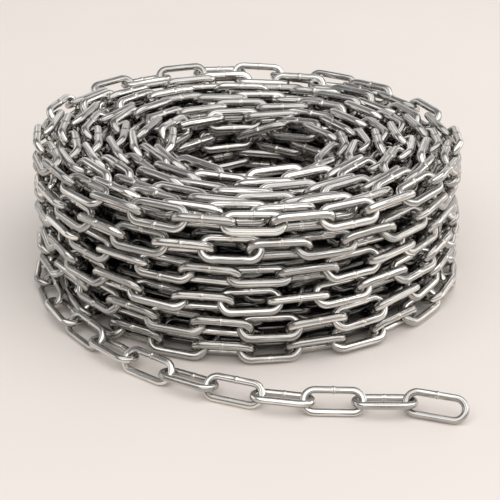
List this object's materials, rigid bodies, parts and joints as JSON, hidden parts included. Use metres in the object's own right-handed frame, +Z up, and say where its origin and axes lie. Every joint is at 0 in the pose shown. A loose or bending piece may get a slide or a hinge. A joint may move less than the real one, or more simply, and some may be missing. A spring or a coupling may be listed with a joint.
{
  "type": "coiled heap of steel chain",
  "caption": "Round coil of long-link welded steel chain, stacked in rings round an open bore, with a free end laid out on the floor.",
  "frame": {"origin": "middle of the object's bounding box, on the floor", "axes": "+Z up, along the coil's axis; -Y is the front, where the free end lies; +X is to the right seen from the front"},
  "size_m": [0.3294, 0.4058, 0.1158],
  "materials": {
    "steel": "bright drawn wire, lightly polished"
  },
  "bodies": {
    "root": {"course_1": "steel", "course_2": "steel", "course_3": "steel", "course_4": "steel", "course_5": "steel", "course_6": "steel", "tail_link_01": "steel", "tail_link_02": "steel", "tail_link_03": "steel", "tail_link_04": "steel", "tail_link_05": "steel", "tail_link_06": "steel", "tail_link_07": "steel", "tail_link_08": "steel", "tail_link_09": "steel", "tail_link_10": "steel", "tail_link_11": "steel", "tail_link_12": "steel"}
  },
  "joints": []
}
